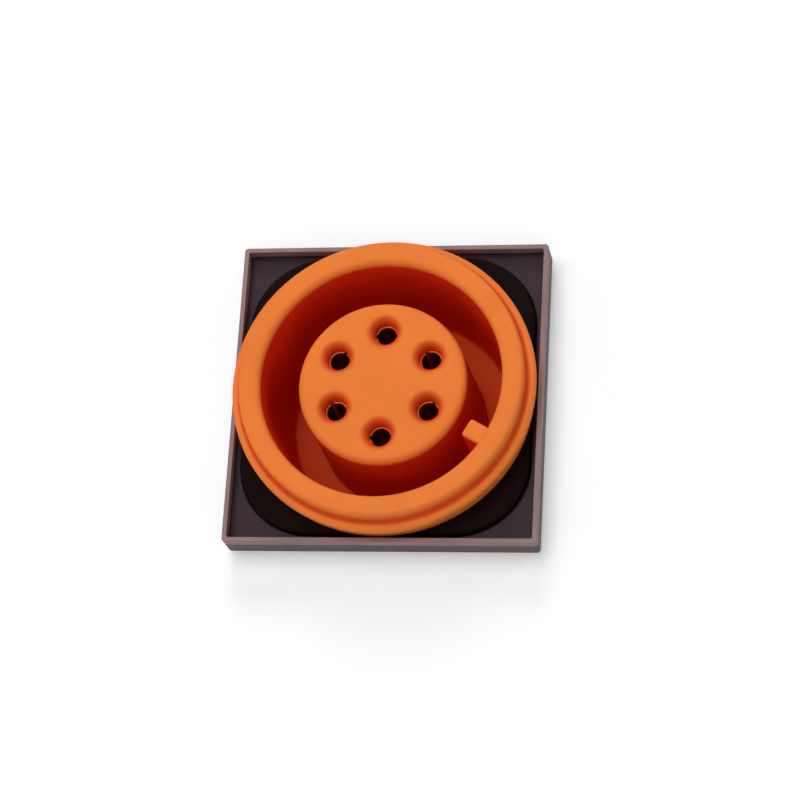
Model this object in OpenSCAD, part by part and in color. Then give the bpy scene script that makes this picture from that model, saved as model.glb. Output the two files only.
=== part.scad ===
// Six-way panel connector: a keyed round shell on a square bezel plate, with six socket contacts,
// drawn as mounted on a panel. The panel's front face is the plane y = 0, the mating side faces -Y
// and +Z is up. Inside the modules z runs along the connector's axis, towards the mating side.

/* [Pins and contacts] */
// Diameter of the plug's pins
pin_d = 1.5; // [1.3:0.05:1.8]
// Free play of a pin in its socket, on the diameter
pin_play = 0.05; // [0.02:0.01:0.1]
// Wall of the contact round its bore
contact_wall = 0.425; // [0.35:0.025:0.6]
// Depth of the bore that takes the pin
socket_depth = 8.8; // [7:0.2:9.6]
// Width of the slot that makes the socket springy
slot_w = 0.3; // [0.2:0.05:0.4]
// Length of that slot
slot_len = 6.4; // [4:0.2:6.8]
// How far the contact's shoulder stands out from its body
shoulder_rise = 0.45; // [0.35:0.05:0.5]
// Length of the contact's shoulder
shoulder_len = 1.2; // [0.8:0.1:1.6]
// Depth of the neck behind the shoulder
neck_cut = 0.1; // [0.05:0.05:0.2]
// Diameter of the crimp bore for the wire
crimp_bore_d = 1.8; // [1.4:0.1:1.9]
// Wall of the crimp barrel
crimp_wall = 0.4; // [0.3:0.05:0.45]
// Depth of the crimp bore
crimp_depth = 5; // [3:0.25:6]
// Diameter of the inspection hole at the end of the crimp bore
inspection_d = 0.6; // [0.4:0.1:0.8]
// How far the crimp barrels stand out behind the shell
crimp_reach = 1.9; // [0.5:0.1:4]

/* [Contact clips] */
// Sheet thickness of a clip
clip_t = 0.2; // [0.15:0.05:0.25]
// Length of a clip
clip_len = 3; // [2.4:0.1:4]
// Share of that length that the tines take
clip_tine_share = 0.55; // [0.4:0.05:0.7]
// Gap between two tines, and along the clip's seam
clip_gap_w = 0.4; // [0.2:0.05:0.6]
// Room between the shoulder's edge and the clip's sleeve
clip_room = 0.1; // [0.05:0.05:0.2]

/* [Insert] */
// Wall between two neighbouring clip cavities
cavity_web = 0.49; // [0.4:0.01:1]
// Material from the circle of contacts to the edge of the insert's face
insert_edge = 2.6; // [2.4:0.05:4]
// How far the insert's face lies behind the rim
insert_recess = 1.17; // [0.5:0.01:3]
// Rounding of the insert's front edge
insert_edge_r = 0.4; // [0.2:0.05:0.8]
// How much wider the insert is at the well's floor than at its face, on the radius
insert_draft = 0.15; // [0:0.05:0.3]
// Diameter of a funnel where it meets the insert's face
funnel_d = 3.2; // [2.8:0.1:3.6]
// Depth of a funnel
funnel_depth = 0.95; // [0.5:0.05:1]
// Depth of the entry, from the face to the contact's front
entry_depth = 1.15; // [1.05:0.05:1.5]
// How much narrower the entry is than the contact, on the diameter
entry_hold = 0.6; // [0.4:0.05:0.7]
// Wall of the insert's skirt round the contact block
skirt_wall = 0.8; // [0.6:0.05:1]
// Thickness of the insert's flange
flange_t = 1.2; // [1:0.1:3]
// Thickness of the clip carrier behind the clips
carrier_floor = 1; // [0.8:0.1:2]
// Width of the key that keeps the insert from turning in the shell
insert_key_w = 1.2; // [0.8:0.1:2]
// Height of that key
insert_key_h = 0.4; // [0.3:0.05:0.5]

/* [Shell] */
// Radial width of the well round the insert, at its mouth
well_gap = 3.075; // [2.6:0.025:5]
// Depth of the well, from the rim
well_depth = 12.6; // [10.4:0.1:14]
// How much narrower the well is at its floor, on the radius
well_draft = 0.52; // [0.1:0.02:0.6]
// Width of the rim's end face, with its rounded edges
rim_w = 1.72; // [1.4:0.02:3]
// Rounding of the rim's inner edge
rim_in_r = 0.5; // [0.2:0.05:0.6]
// Rounding of the rim's outer edge
rim_out_r = 0.25; // [0.1:0.05:0.5]
// How far the rim stands in front of the bezel plate's face
rim_rise = 4.6; // [4:0.1:7]
// Depth of the step from the rim down to the bead
step_depth = 1.45; // [1:0.05:1.6]
// How much the step's wall leans outwards over that depth
step_lean = 0.15; // [0:0.05:0.3]
// Rounding where the step meets the bead
step_r = 0.3; // [0.1:0.05:0.4]
// How far the bead stands out beyond the rim
bead_out = 0.9; // [0.8:0.02:1.6]
// Rounding of the bead's front edge
bead_r = 0.35; // [0.2:0.05:0.45]
// Height of the bead along the axis
bead_h = 0.7; // [0.5:0.05:0.9]
// How far the flange's side lies inside the bead
side_in = 0.29; // [0.2:0.01:0.4]
// Wall of the barrel at the well's mouth, measured to the thread's crest
barrel_wall = 1.375; // [1.3:0.025:2.5]
// Thickness of the wall that the insert's neck passes through
web_t = 1.8; // [1.2:0.1:3]
// Width of the polarising key in the well
key_w = 1.6; // [1:0.1:2.4]
// How far the polarising key stands out from the well's wall
key_h = 1.7; // [1:0.1:2]
// How far the polarising key ends behind the rim
key_back = 0.35; // [0.2:0.05:2]
// Angle of the polarising key, seen from the mating side, from +X towards +Z
key_angle = -29.4; // [-45:0.1:-15]
// Pitch of the barrel's thread
thread_pitch = 1; // [0.75:0.25:1.5]
// Depth of the rear end behind the retaining ring
end_len = 0.9; // [0.6:0.1:2]

/* [Bezel plate] */
// Room between the bead and the edge of the bezel plate
plate_margin = 0.35; // [0.25:0.05:4]
// Thickness of the bezel plate
plate_t = 1.6; // [1.2:0.1:3]
// Corner radius of the bezel plate
plate_corner_r = 0.3; // [0.1:0.05:0.6]
// Width of the raised lip along the plate's edge
lip_w = 0.4; // [0.3:0.05:0.4]
// Height of the raised lip
lip_h = 1.2; // [0.4:0.1:1.3]
// Depth of the seat for the front gasket
seat_depth = 0.4; // [0.3:0.05:0.6]
// Width of the rib that keeps the shell from turning in the plate
rib_w = 2.4; // [1.6:0.1:3]
// How far that rib stands out from the barrel
rib_out = 1.2; // [0.8:0.1:1.3]

/* [Seals] */
// Thickness of the squeezed front gasket
front_gasket_t = 1.1; // [0.6:0.05:1.3]
// How much smaller the front gasket is than the flange's side at the middle of its edges
gasket_in = 0.25; // [0.15:0.05:0.35]
// Corner radius of the front gasket
gasket_corner_r = 6.2; // [4:0.1:8]
// Thickness of the squeezed panel gasket
panel_gasket_t = 0.6; // [0.4:0.1:1.5]
// How far the panel gasket lies inside the plate's edge
panel_gasket_in = 0.3; // [0.2:0.05:0.6]
// Thickness of the squeezed insert seal
insert_seal_t = 0.5; // [0.3:0.05:1]
// Thickness of the rear grommet
grommet_t = 3; // [2:0.1:5]
// Height of the grommet's collars round the crimp barrels
collar_h = 0.4; // [0.2:0.1:0.8]
// Wall of those collars
collar_wall = 0.65; // [0.4:0.05:0.75]

/* [Nut, washer and retaining ring] */
// Thickness of the panel that the connector is mounted on
panel_t = 2.5; // [1:0.1:4]
// Width across the flats of the nut, beyond the thread
nut_over = 4; // [3:0.25:7]
// Height of the nut
nut_h = 5; // [3:0.25:6]
// Chamfer at the ends of the nut's thread
nut_chamfer = 0.4; // [0.2:0.05:0.6]
// Height of the lock washer with its twisted teeth
washer_h = 0.9; // [0.7:0.05:1.2]
// Thickness of the lock washer's sheet
washer_t = 0.5; // [0.4:0.05:0.6]
// Width of the lock washer's ring
washer_ring_w = 1.25; // [1:0.05:1.6]
// Length of the lock washer's teeth
tooth_len = 1.3; // [0.8:0.1:2]
// Number of teeth of the lock washer
tooth_count = 20; // [12:1:24]
// Thickness of the retaining ring
ring_t = 1; // [0.8:0.1:1.2]
// Width of the retaining ring opposite its gap
ring_w = 1.5; // [1.2:0.1:2]
// Depth of the groove that holds the retaining ring
ring_groove = 0.4; // [0.3:0.05:0.5]
// Angle of the retaining ring's gap
ring_gap = 44; // [30:1:70]
// Radius of the ears of the retaining ring
ear_r = 1.15; // [1:0.05:1.3]
// Diameter of the holes in those ears
ear_hole_d = 1.1; // [0.8:0.1:1.2]

/* [Clearances] */
// Radial clearance of a contact in its cavity
cavity_clear = 0.05; // [0.03:0.01:0.08]
// Radial clearance of a clip in its cavity
clip_clear = 0.03; // [0.02:0.01:0.05]
// Radial clearance of the insert in the shell
insert_clear = 0.1; // [0.05:0.01:0.15]
// Radial clearance of the contact block in the insert's skirt
block_clear = 0.05; // [0.03:0.01:0.1]
// Radial clearance of the barrel in the plate, the gaskets and the washer
barrel_clear = 0.15; // [0.1:0.01:0.3]
// Clearance of a key or rib in its slot, on each side
key_clear = 0.1; // [0.05:0.01:0.15]
// Radial clearance between the flanks of the nut and the barrel
thread_clear = 0.05; // [0.03:0.01:0.1]
// Clearance of the front gasket in its seat, on each side
seat_clear = 0.05; // [0.03:0.01:0.1]
// Radial clearance of the crimp barrels in the grommet
grommet_clear = 0.03; // [0.02:0.01:0.05]
// Clearance behind the retaining ring in its groove
ring_clear = 0.1; // [0.05:0.01:0.15]

/* [Hidden] */
$fn = 96;

// Amount by which a cut runs past the face that it opens
cut = 0.5;
// Points along each rounded edge of a turned profile
arc_steps = 3;
contact_count = 6;
contact_step = 360 / contact_count;
first_contact_angle = 90;
insert_key_angle = -90;
rib_angle = 135;
ring_gap_angle = 90;

// Colours of the pieces
orange = [0.88, 0.46, 0.20];
charcoal = [0.23, 0.20, 0.22];
rubber_black = [0.07, 0.06, 0.07];
silicone_grey = [0.30, 0.30, 0.31];
gold = [0.83, 0.66, 0.27];
copper_alloy = [0.76, 0.55, 0.35];
nickel = [0.74, 0.73, 0.70];
steel = [0.62, 0.63, 0.65];

// Radii of the contacts and of the cavities round them
socket_r = (pin_d + pin_play) / 2;
contact_r = socket_r + contact_wall;
shoulder_r = contact_r + shoulder_rise;
neck_r = contact_r - neck_cut;
crimp_r = crimp_bore_d / 2 + crimp_wall;
clip_r = shoulder_r + clip_room + clip_t;
clip_cavity_r = clip_r + clip_clear;
cavity_r = contact_r + cavity_clear;
shoulder_seat_r = shoulder_r + cavity_clear;
entry_r = contact_r - entry_hold / 2;

// The circle of contacts, and the radii that follow from it outwards
contact_circle_r = (2 * clip_cavity_r + cavity_web) / (2 * sin(contact_step / 2));
insert_r = contact_circle_r + insert_edge;
insert_neck_r = insert_r + insert_draft;
skirt_in_r = insert_r - skirt_wall;
mouth_r = insert_r + well_gap;
floor_r = mouth_r - well_draft;
rim_r = mouth_r + rim_w;
bead_out_r = rim_r + bead_out;
side_r = bead_out_r - side_in;
crest_r = mouth_r + barrel_wall;
flank_r = crest_r - 0.325 * thread_pitch;
root_r = crest_r - 0.613 * thread_pitch;
cavity_bore_r = floor_r + insert_clear;
stack_r = cavity_bore_r - insert_clear;
bore_r = crest_r + barrel_clear;
plate_w = 2 * (bead_out_r + plate_margin);
gasket_w = 2 * (side_r - gasket_in);

// Levels along the axis, from the panel's face at zero towards the front
plate_back_z = panel_gasket_t;
plate_face_z = plate_back_z + plate_t;
seat_z = plate_face_z - seat_depth;
flange_back_z = seat_z + front_gasket_t;
rim_z = plate_face_z + rim_rise;
insert_face_z = rim_z - insert_recess;
contact_front_z = insert_face_z - entry_depth;
floor_z = rim_z - well_depth;

// Levels along the axis, from the well's floor towards the rear
web_back_z = floor_z - web_t;
flange_front_z = web_back_z - insert_seal_t;
insert_back_z = flange_front_z - flange_t;
shoulder_back_z = insert_back_z - shoulder_len;
clip_back_z = shoulder_back_z - clip_len;
carrier_back_z = clip_back_z - carrier_floor;
grommet_back_z = carrier_back_z - grommet_t;
ring_back_z = grommet_back_z - ring_t;
shell_back_z = ring_back_z - ring_clear - end_len;
contact_back_z = shell_back_z - crimp_reach;

// Levels of the thread, the washer and the nut
thread_front_z = -0.4;
thread_back_z = grommet_back_z + grommet_t / 2;
washer_front_z = -panel_t;
nut_front_z = washer_front_z - washer_h;
nut_back_z = nut_front_z - nut_h;
nut_flats = 2 * crest_r + nut_over;

// Turns the connector's axis from +Z to -Y, with the local +Y to the top
module mounted() {
    rotate([90, 0, 0])
        children();
}

// A slab between two levels on the axis
module slab(back_z, front_z) {
    translate([0, 0, back_z])
        linear_extrude(front_z - back_z)
            children();
}

// A true round bar between two levels on the axis
module round_bar(radius, back_z, front_z) {
    translate([0, 0, back_z])
        cylinder(r = radius, h = front_z - back_z);
}

// A bar that stands out from the axis at an angle, between two radii
module radial_bar(angle, inner_r, outer_r, width, back_z, front_z) {
    rotate([0, 0, angle])
        translate([inner_r, -width / 2, back_z])
            cube([outer_r - inner_r, width, front_z - back_z]);
}

module rounded_square(width, corner_r) {
    square([width - 2 * corner_r, width], center = true);
    square([width, width - 2 * corner_r], center = true);
    for (x = [-1, 1], y = [-1, 1])
        translate([x, y] * (width / 2 - corner_r))
            circle(corner_r);
}

// Points along an arc of a turned profile
function arc(centre, radius, from, to) = [
    for (i = [0:arc_steps])
        let (a = from + (to - from) * i / arc_steps)
            centre + radius * [cos(a), sin(a)]
];

function contact_angle(index) = first_contact_angle - contact_step * (index - 1);

// Puts its children at one place on the circle of contacts
module at_contact(index) {
    rotate([0, 0, contact_angle(index)])
        translate([contact_circle_r, 0, 0])
            children();
}

module at_each_contact() {
    for (index = [1:contact_count])
        at_contact(index)
            children();
}

// The charcoal square plate, with a raised lip along its edge and a rounded seat for the gasket
module bezel_plate() {
    lip_front_z = plate_face_z + lip_h;
    color(charcoal)
        mounted()
            difference() {
                slab(plate_back_z, lip_front_z)
                    rounded_square(plate_w, plate_corner_r);
                slab(plate_face_z, lip_front_z + cut)
                    square(plate_w - 2 * lip_w, center = true);
                slab(seat_z, plate_face_z + cut)
                    rounded_square(gasket_w + 2 * seat_clear, gasket_corner_r + seat_clear);
                round_bar(bore_r, plate_back_z - cut, seat_z + cut);
                radial_bar(
                    rib_angle, bore_r - cut, crest_r + rib_out + key_clear,
                    rib_w + 2 * key_clear, plate_back_z - cut, seat_z + cut
                );
            }
}

// The black rubber gasket between the shell's flange and the plate
module front_gasket() {
    color(rubber_black)
        mounted()
            difference() {
                slab(seat_z, flange_back_z)
                    rounded_square(gasket_w, gasket_corner_r);
                round_bar(crest_r + barrel_clear / 2, seat_z - cut, flange_back_z + cut);
                radial_bar(
                    rib_angle, crest_r - cut, crest_r + rib_out + key_clear,
                    rib_w + 2 * key_clear, seat_z - cut, flange_back_z + cut
                );
            }
}

// The flat rubber gasket between the plate and the panel
module panel_gasket() {
    color(rubber_black)
        mounted()
            difference() {
                slab(0, panel_gasket_t)
                    rounded_square(plate_w - 2 * panel_gasket_in, plate_corner_r);
                round_bar(bore_r, -cut, panel_gasket_t + cut);
            }
}

// Half section of the shell's outside, from the rim's inner edge to the rear end
function shell_outside() = concat(
    arc([mouth_r + rim_in_r, rim_z - rim_in_r], rim_in_r, 180, 90),
    arc([rim_r - rim_out_r, rim_z - rim_out_r], rim_out_r, 90, 0),
    arc(
        [rim_r + step_lean + step_r, rim_z - step_depth + step_r],
        step_r, 180, 270
    ),
    arc(
        [bead_out_r - bead_r, rim_z - step_depth - bead_r],
        bead_r, 90, 0
    ),
    [
        [bead_out_r, rim_z - step_depth - bead_h],
        [side_r, rim_z - step_depth - bead_h - side_in],
        [side_r, flange_back_z],
        [crest_r, flange_back_z],
        [crest_r, thread_front_z],
        [flank_r, thread_front_z - (crest_r - flank_r)],
        [flank_r, thread_back_z],
        [root_r, thread_back_z - (flank_r - root_r)],
        [root_r, shell_back_z + (crest_r - root_r) / 2],
        [root_r - (crest_r - root_r) / 2, shell_back_z],
    ]
);

// Half section of the shell's inside, from the rear end back to the well's mouth
function shell_inside() = [
    [cavity_bore_r, shell_back_z],
    [cavity_bore_r, ring_back_z - ring_clear],
    [cavity_bore_r + ring_groove, ring_back_z - ring_clear],
    [cavity_bore_r + ring_groove, grommet_back_z],
    [cavity_bore_r, grommet_back_z],
    [cavity_bore_r, web_back_z],
    [insert_neck_r + insert_clear, web_back_z],
    [insert_neck_r + insert_clear, floor_z],
    [floor_r, floor_z],
];

// The orange shell: rim, bead and flange in front, threaded barrel behind, and the keyed well
module shell() {
    color(orange)
        mounted() {
            difference() {
                rotate_extrude()
                    polygon(concat(shell_outside(), shell_inside()));
                radial_bar(
                    insert_key_angle, cavity_bore_r - cut, cavity_bore_r + insert_key_h,
                    insert_key_w + 2 * key_clear, shell_back_z - cut, web_back_z
                );
            }
            radial_bar(
                key_angle, mouth_r - key_h, mouth_r + rim_w / 2, key_w,
                floor_z, rim_z - key_back
            );
            radial_bar(
                rib_angle, crest_r - rib_out / 2, crest_r + rib_out, rib_w,
                plate_back_z + cut, flange_back_z
            );
        }
}

// Half section of the insert, with its rounded face, its neck and its flange
function insert_section() = concat(
    [[0, insert_face_z]],
    arc([insert_r - insert_edge_r, insert_face_z - insert_edge_r], insert_edge_r, 90, 0),
    [
        [insert_neck_r, floor_z],
        [insert_neck_r, flange_front_z],
        [stack_r, flange_front_z],
        [stack_r, insert_back_z],
        [0, insert_back_z],
    ]
);

// Half section of one funnel and its entry, down to the front of the contact
function funnel_section() = concat(
    [[0, insert_face_z + cut], [funnel_d / 2, insert_face_z + cut]],
    [
        for (i = [0:arc_steps])
            let (a = 90 * i / arc_steps)
                [
                    funnel_d / 2 - (funnel_d / 2 - entry_r) * sin(a),
                    insert_face_z - funnel_depth * (1 - cos(a)),
                ]
    ],
    [[entry_r, contact_front_z - cut], [0, contact_front_z - cut]]
);

// The orange insert: a face with six funnels and closed entries, a skirt behind it and a flange
module contact_insert() {
    color(orange)
        mounted() {
            difference() {
                rotate_extrude()
                    polygon(insert_section());
                at_each_contact()
                    rotate_extrude()
                        polygon(funnel_section());
                round_bar(skirt_in_r, insert_back_z - cut, contact_front_z);
            }
            radial_bar(
                insert_key_angle, stack_r - insert_key_w, cavity_bore_r + insert_key_h - key_clear,
                insert_key_w, insert_back_z, flange_front_z
            );
        }
}

// The orange block that fills the insert's skirt and centres the contacts in six cavities
module contact_block() {
    color(orange)
        mounted()
            difference() {
                round_bar(skirt_in_r - block_clear, insert_back_z, contact_front_z);
                at_each_contact()
                    round_bar(cavity_r, insert_back_z - cut, contact_front_z + cut);
            }
}

// The flat silicone seal between the shell's web and the insert's flange
module insert_seal() {
    color(silicone_grey)
        mounted()
            difference() {
                round_bar(stack_r, flange_front_z, web_back_z);
                round_bar(insert_neck_r + insert_clear, flange_front_z - cut, web_back_z + cut);
            }
}

// The orange carrier that holds the six clips, with room for the contacts' shoulders in front
module clip_carrier() {
    color(orange)
        mounted()
            difference() {
                round_bar(stack_r, carrier_back_z, insert_back_z);
                at_each_contact() {
                    round_bar(clip_cavity_r, clip_back_z, insert_back_z + cut);
                    round_bar(shoulder_seat_r, carrier_back_z - cut, clip_back_z + cut);
                }
            }
}

// The silicone grommet that seals the rear, with a collar round each crimp barrel
module rear_grommet() {
    color(silicone_grey)
        mounted()
            difference() {
                union() {
                    round_bar(stack_r, grommet_back_z, carrier_back_z);
                    at_each_contact()
                        round_bar(
                            crimp_r + collar_wall, grommet_back_z - collar_h, grommet_back_z + cut
                        );
                }
                at_each_contact()
                    round_bar(
                        crimp_r + grommet_clear, grommet_back_z - collar_h - cut,
                        carrier_back_z + cut
                    );
            }
}

// The sprung steel ring with two ears that holds the stack in the shell
module retaining_ring() {
    outer_r = cavity_bore_r + ring_groove - ring_clear / 2;
    ear_place_r = outer_r - ring_groove - ear_r;
    ear_turn = ring_gap / 2 + asin(ear_r / ear_place_r);
    color(steel)
        mounted()
            slab(ring_back_z, grommet_back_z)
                rotate(ring_gap_angle)
                    difference() {
                        union() {
                            difference() {
                                circle(outer_r);
                                translate([ring_w / 4, 0])
                                    circle(outer_r - 3 * ring_w / 4);
                                polygon([
                                    [0, 0],
                                    2 * outer_r * [cos(ear_turn), -sin(ear_turn)],
                                    2 * outer_r * [cos(ear_turn), sin(ear_turn)],
                                ]);
                            }
                            for (side = [-1, 1])
                                rotate(side * ear_turn)
                                    translate([ear_place_r, 0])
                                        circle(ear_r);
                        }
                        for (side = [-1, 1])
                            rotate(side * ear_turn)
                                translate([ear_place_r, 0])
                                    circle(ear_hole_d / 2);
                    }
}

// The lock washer, whose twisted teeth fill the height between the panel and the nut
module lock_washer() {
    ring_out_r = bore_r + washer_ring_w;
    tooth_w = PI * ring_out_r / tooth_count;
    tilt = asin(washer_h / norm([tooth_w, washer_t])) - atan(washer_t / tooth_w);
    mid_z = washer_front_z - washer_h / 2;
    color(steel)
        mounted() {
            difference() {
                round_bar(ring_out_r, mid_z - washer_t / 2, mid_z + washer_t / 2);
                round_bar(bore_r, mid_z - washer_t, mid_z + washer_t);
            }
            for (tooth = [0:tooth_count - 1])
                rotate([0, 0, 360 * tooth / tooth_count])
                    translate([ring_out_r - washer_ring_w / 3, 0, mid_z])
                        rotate([tilt, 0, 0])
                            translate([0, -tooth_w / 2, -washer_t / 2])
                                cube([tooth_len + washer_ring_w / 3, tooth_w, washer_t]);
        }
}

// The hexagonal nut that pulls the plate against the panel
module jam_nut() {
    corner_r = nut_flats / 2 / cos(30);
    corner_drop = (corner_r - nut_flats / 2) * tan(30);
    nut_bore_r = flank_r + thread_clear;
    color(nickel)
        mounted()
            difference() {
                intersection() {
                    translate([0, 0, nut_back_z])
                        cylinder(r = corner_r, h = nut_h, $fn = 6);
                    rotate_extrude()
                        polygon([
                            [0, nut_back_z],
                            [nut_flats / 2, nut_back_z],
                            [corner_r, nut_back_z + corner_drop],
                            [corner_r, nut_front_z - corner_drop],
                            [nut_flats / 2, nut_front_z],
                            [0, nut_front_z],
                        ]);
                }
                rotate_extrude()
                    polygon([
                        [0, nut_back_z - cut],
                        [nut_bore_r + nut_chamfer + cut, nut_back_z - cut],
                        [nut_bore_r, nut_back_z + nut_chamfer],
                        [nut_bore_r, nut_front_z - nut_chamfer],
                        [nut_bore_r + nut_chamfer + cut, nut_front_z + cut],
                        [0, nut_front_z + cut],
                    ]);
            }
}

// Half section of a contact: sprung socket, shoulder, neck and crimp barrel
function contact_section() =
    let (
        mouth = contact_wall / 3,
        neck_back_z = clip_back_z + (clip_len - clip_len * clip_tine_share) / 2,
        socket_floor_z = contact_front_z - socket_depth,
        crimp_floor_z = contact_back_z + crimp_depth
    ) [
        [0, socket_floor_z - socket_r / 2],
        [socket_r, socket_floor_z],
        [socket_r, contact_front_z - 2 * mouth],
        [socket_r + mouth / 3, contact_front_z - mouth / 2],
        [socket_r + mouth, contact_front_z],
        [contact_r - mouth, contact_front_z],
        [contact_r - mouth / 3, contact_front_z - mouth / 4],
        [contact_r, contact_front_z - mouth],
        [contact_r, insert_back_z],
        [shoulder_r, insert_back_z],
        [shoulder_r, shoulder_back_z],
        [neck_r, shoulder_back_z],
        [neck_r, neck_back_z],
        [crimp_r, neck_back_z - 2 * (crimp_r - neck_r)],
        [crimp_r, contact_back_z],
        [crimp_r - crimp_wall / 2, contact_back_z],
        [crimp_bore_d / 2, contact_back_z + crimp_wall],
        [crimp_bore_d / 2, crimp_floor_z],
        [0, crimp_floor_z + crimp_bore_d / 4],
    ];

// A gold-plated socket contact, slotted in front and bored for a wire behind
module contact(index) {
    color(gold)
        mounted()
            at_contact(index)
                difference() {
                    rotate_extrude()
                        polygon(contact_section());
                    translate([-slot_w / 2, -2 * contact_r, contact_front_z - slot_len])
                        cube([slot_w, 4 * contact_r, slot_len + cut]);
                    translate([0, 0, contact_back_z + crimp_depth - inspection_d])
                        rotate([0, 90, 0])
                            cylinder(d = inspection_d, h = 2 * crimp_r);
                }
}

// A rolled clip with a sleeve and four tines that close in behind the contact's shoulder
module contact_clip(index) {
    tine_back_z = shoulder_back_z - clip_len * clip_tine_share;
    tine_front_z = shoulder_back_z - clip_clear;
    tip_r = contact_r;
    color(copper_alloy)
        mounted()
            at_contact(index)
                difference() {
                    rotate_extrude()
                        polygon([
                            [clip_r, clip_back_z],
                            [clip_r, tine_back_z],
                            [tip_r + clip_t, tine_front_z],
                            [tip_r, tine_front_z],
                            [clip_r - clip_t, tine_back_z],
                            [clip_r - clip_t, clip_back_z],
                        ]);
                    for (turn = [0, 90])
                        rotate([0, 0, turn])
                            translate([-2 * clip_r, -clip_gap_w / 2, tine_back_z])
                                cube([4 * clip_r, clip_gap_w, clip_len]);
                    translate([0, -clip_gap_w / 2, clip_back_z - cut])
                        cube([2 * clip_r, clip_gap_w, clip_len]);
                }
}

bezel_plate();
front_gasket();
panel_gasket();
shell();
contact_insert();
contact_block();
insert_seal();
clip_carrier();
rear_grommet();
retaining_ring();
lock_washer();
jam_nut();
contact(1);  // contact_1
contact(2);  // contact_2
contact(3);  // contact_3
contact(4);  // contact_4
contact(5);  // contact_5
contact(6);  // contact_6
contact_clip(1);  // contact_clip_1
contact_clip(2);  // contact_clip_2
contact_clip(3);  // contact_clip_3
contact_clip(4);  // contact_clip_4
contact_clip(5);  // contact_clip_5
contact_clip(6);  // contact_clip_6
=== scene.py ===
"""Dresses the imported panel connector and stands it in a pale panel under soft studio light."""

import math

import bmesh
import bpy
from bpy.props import FloatProperty, IntProperty, PointerProperty, StringProperty
from mathutils import Matrix, Vector


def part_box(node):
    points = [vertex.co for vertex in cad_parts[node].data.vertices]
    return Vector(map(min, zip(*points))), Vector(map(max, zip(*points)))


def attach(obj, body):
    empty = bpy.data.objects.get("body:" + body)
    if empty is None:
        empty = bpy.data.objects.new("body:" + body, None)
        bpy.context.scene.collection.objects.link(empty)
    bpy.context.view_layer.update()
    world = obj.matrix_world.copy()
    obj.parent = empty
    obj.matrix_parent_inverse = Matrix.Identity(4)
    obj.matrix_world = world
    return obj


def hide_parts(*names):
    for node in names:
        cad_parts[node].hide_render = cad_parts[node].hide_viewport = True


bl_info = {
    "name": "Panel Connector",
    "version": (1, 0, 0),
    "blender": (4, 5, 0),
    "location": "View3D > Sidebar > Connector",
    "description": "Builds a keyed six-way panel connector around its packed solids",
    "category": "Add Mesh",
}

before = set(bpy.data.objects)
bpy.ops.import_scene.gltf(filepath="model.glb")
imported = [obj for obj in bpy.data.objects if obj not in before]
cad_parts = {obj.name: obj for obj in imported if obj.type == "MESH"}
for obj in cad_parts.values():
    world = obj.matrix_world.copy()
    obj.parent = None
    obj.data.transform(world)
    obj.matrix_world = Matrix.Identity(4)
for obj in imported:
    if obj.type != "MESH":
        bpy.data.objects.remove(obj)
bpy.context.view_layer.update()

MM = 0.001
CONTACT_COUNT = 6
# Places closer than MERGE are one place, and NEAR allows for the rounding errors of a cut too
MERGE, NEAR = 1e-7, 1e-6
# Noise seldom leaves this range, so that colour and gloss run between these two values of it
NOISE_LOW, NOISE_HIGH = 0.3, 0.7
# The pieces are built with +Z along the connector's axis, towards the plug, and then turned to -Y
TO_ROW = Matrix(((1, 0, 0, 0), (0, 0, -1, 0), (0, 1, 0, 0), (0, 0, 0, 1)))


def span(node):
    """Back and front level of a CAD node on the connector's axis."""
    low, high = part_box(node)
    return -high.y, -low.y


def reach(node):
    """Half the width of a CAD node across the connector's axis."""
    low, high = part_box(node)
    return (high.x - low.x) / 2


SHELL_BACK, RIM = span("shell")
INSERT_BACK, FACE = span("contact_insert")
CONTACT_BACK, CONTACT_FRONT = span("contact_1")
PLATE_BACK, LIP = span("bezel_plate")
SEAT, FLANGE_BACK = span("front_gasket")
PANEL_PLANE, _ = span("panel_gasket")
NUT_BACK, NUT_FRONT = span("jam_nut")
WASHER_BACK, WASHER_FRONT = span("lock_washer")
RING_BACK, RING_FRONT = span("retaining_ring")
SEAL_BACK, WEB_BACK = span("insert_seal")
_, CLIP_FRONT = span("contact_clip_1")
BEAD_R = reach("shell")
STACK_R = reach("clip_carrier")
BLOCK_R = reach("contact_block") + 0.05 * MM
SHOULDER_R = reach("contact_1")
PLATE_HALF = reach("bezel_plate")
GASKET_HALF = reach("front_gasket")
PANEL_GASKET_HALF = reach("panel_gasket")
NUT_CORNER_R = reach("jam_nut")
NUT_HALF = (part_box("jam_nut")[1].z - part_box("jam_nut")[0].z) / 2
WASHER_R = reach("lock_washer")
# The first contact stands at the top of the circle of contacts
CIRCLE_R = (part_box("contact_1")[1].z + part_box("contact_1")[0].z) / 2
# The rib that keeps the shell from turning points at the plate's upper left corner
RIB_TURN = math.radians(135)

# The stage, in metres: the panel sheet that the nut clamps, with its cut-out, and the floor
PANEL_SIZE, PANEL_CENTRE = (0.09, 0.0025, 0.17), (0.0, 0.00125, -0.04)
CUTOUT_R = 11.6 * MM
FLOOR_HALF, FLOOR_LEVEL = 1.2, -0.125
# Brightness that the boards show the camera beyond the light on them, and strength of the world
PANEL_GLOW, FLOOR_GLOW, WORLD_LIGHT = 0.31, 0.6, 0.03
LAMP_DISTANCE = 0.5
# Each lamp's name, degrees round the axis from +X to +Z, degrees off it, width in metres and watts
LAMPS = (
    ("key_soft_box", 98, 56, 0.2, 0.8),
    ("front_soft_box", 134, 13, 0.25, 1.0),
    ("right_soft_box", 30, 70, 0.15, 0.34),
    ("left_soft_box", 165, 64, 0.15, 0.25),
    ("low_soft_box", 270, 65, 0.25, 0.25),
    ("rear_soft_box", 60, 140, 0.5, 2.0),
)
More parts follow.
